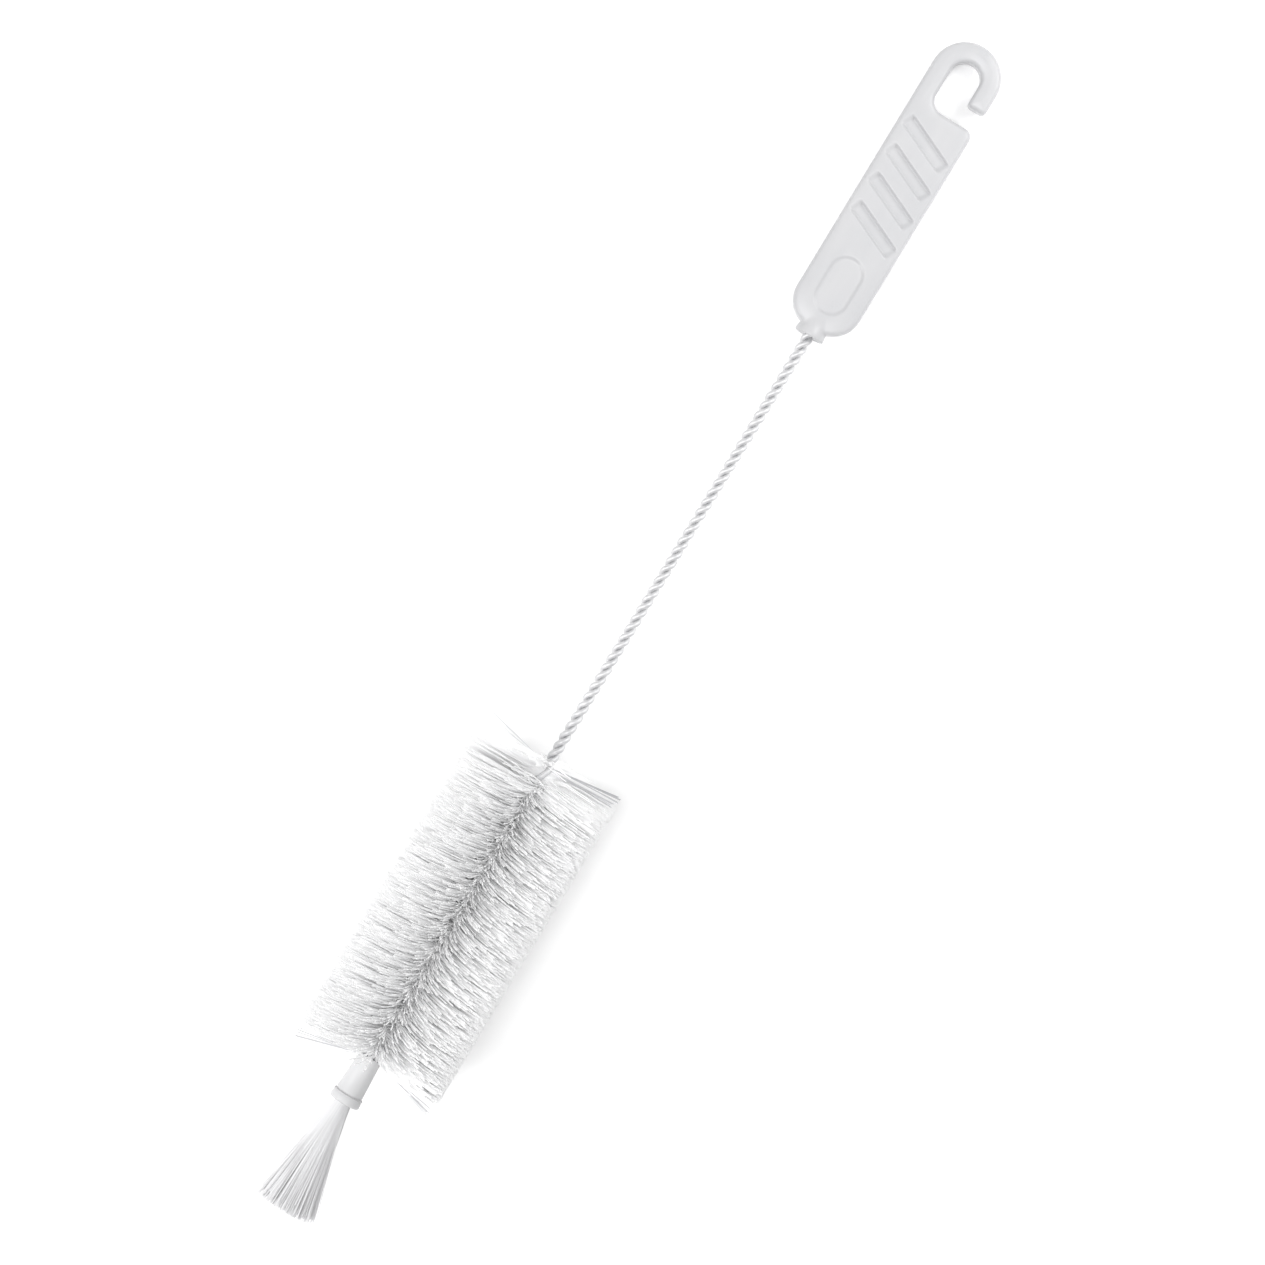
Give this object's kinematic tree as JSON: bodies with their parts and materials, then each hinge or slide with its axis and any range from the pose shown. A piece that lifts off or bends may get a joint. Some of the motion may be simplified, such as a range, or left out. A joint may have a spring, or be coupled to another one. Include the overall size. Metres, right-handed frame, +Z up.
{
  "type": "bottle brush",
  "caption": "Bottle brush with a cylindrical filament head on a twisted wire stem, a small tip tuft in a ferrule, and a flat moulded handle that ends in an open hook.",
  "frame": {"origin": "centre of the underside of the bounding box, on the surface the brush lies on", "axes": "+X along the brush from the tip tuft to the hook, +Z up from the surface, and the hook's mouth opens towards -Y"},
  "size_m": [0.3995, 0.0486, 0.0545],
  "materials": {
    "handle_plastic": "satin moulded polypropylene",
    "galvanised_wire": "bright galvanised",
    "filament": "translucent nylon filament, soft mass",
    "ferrule_plastic": "satin moulded plastic"
  },
  "bodies": {
    "root": {"handle": "handle_plastic", "stem_wire": "galvanised_wire", "head_filaments": "filament", "tip_ferrule": "ferrule_plastic", "tip_tuft": "filament"}
  },
  "joints": []
}
